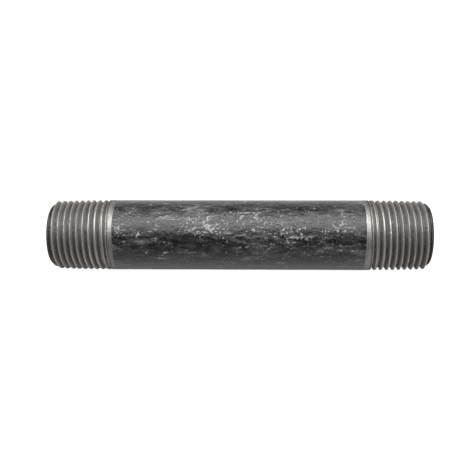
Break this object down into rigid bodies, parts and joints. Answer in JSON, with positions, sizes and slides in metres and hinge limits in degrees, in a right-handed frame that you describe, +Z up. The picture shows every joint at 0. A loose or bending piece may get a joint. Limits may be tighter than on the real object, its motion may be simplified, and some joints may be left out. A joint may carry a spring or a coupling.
{
  "type": "threaded pipe nipple",
  "caption": "Short black steel pipe with a taper pipe thread cut on each end, used to join two female pipe fittings.",
  "frame": {"origin": "middle of the pipe's length, on its axis", "axes": "+X along the pipe's axis towards the right threaded end; +Z up as the nipple lies on its side"},
  "size_m": [0.1142, 0.0214, 0.0214],
  "materials": {
    "black_coated_steel": "worn black lacquer over mill scale, satin, scuffed",
    "cut_steel": "die-cut bare steel, dull grey with slight torn texture",
    "bore_scale": "dark mill scale, matt"
  },
  "bodies": {
    "root": {"pipe_barrel": "black_coated_steel", "left_threaded_end": "cut_steel", "right_threaded_end": "cut_steel", "inner_weld_bead": "bore_scale"}
  },
  "joints": []
}
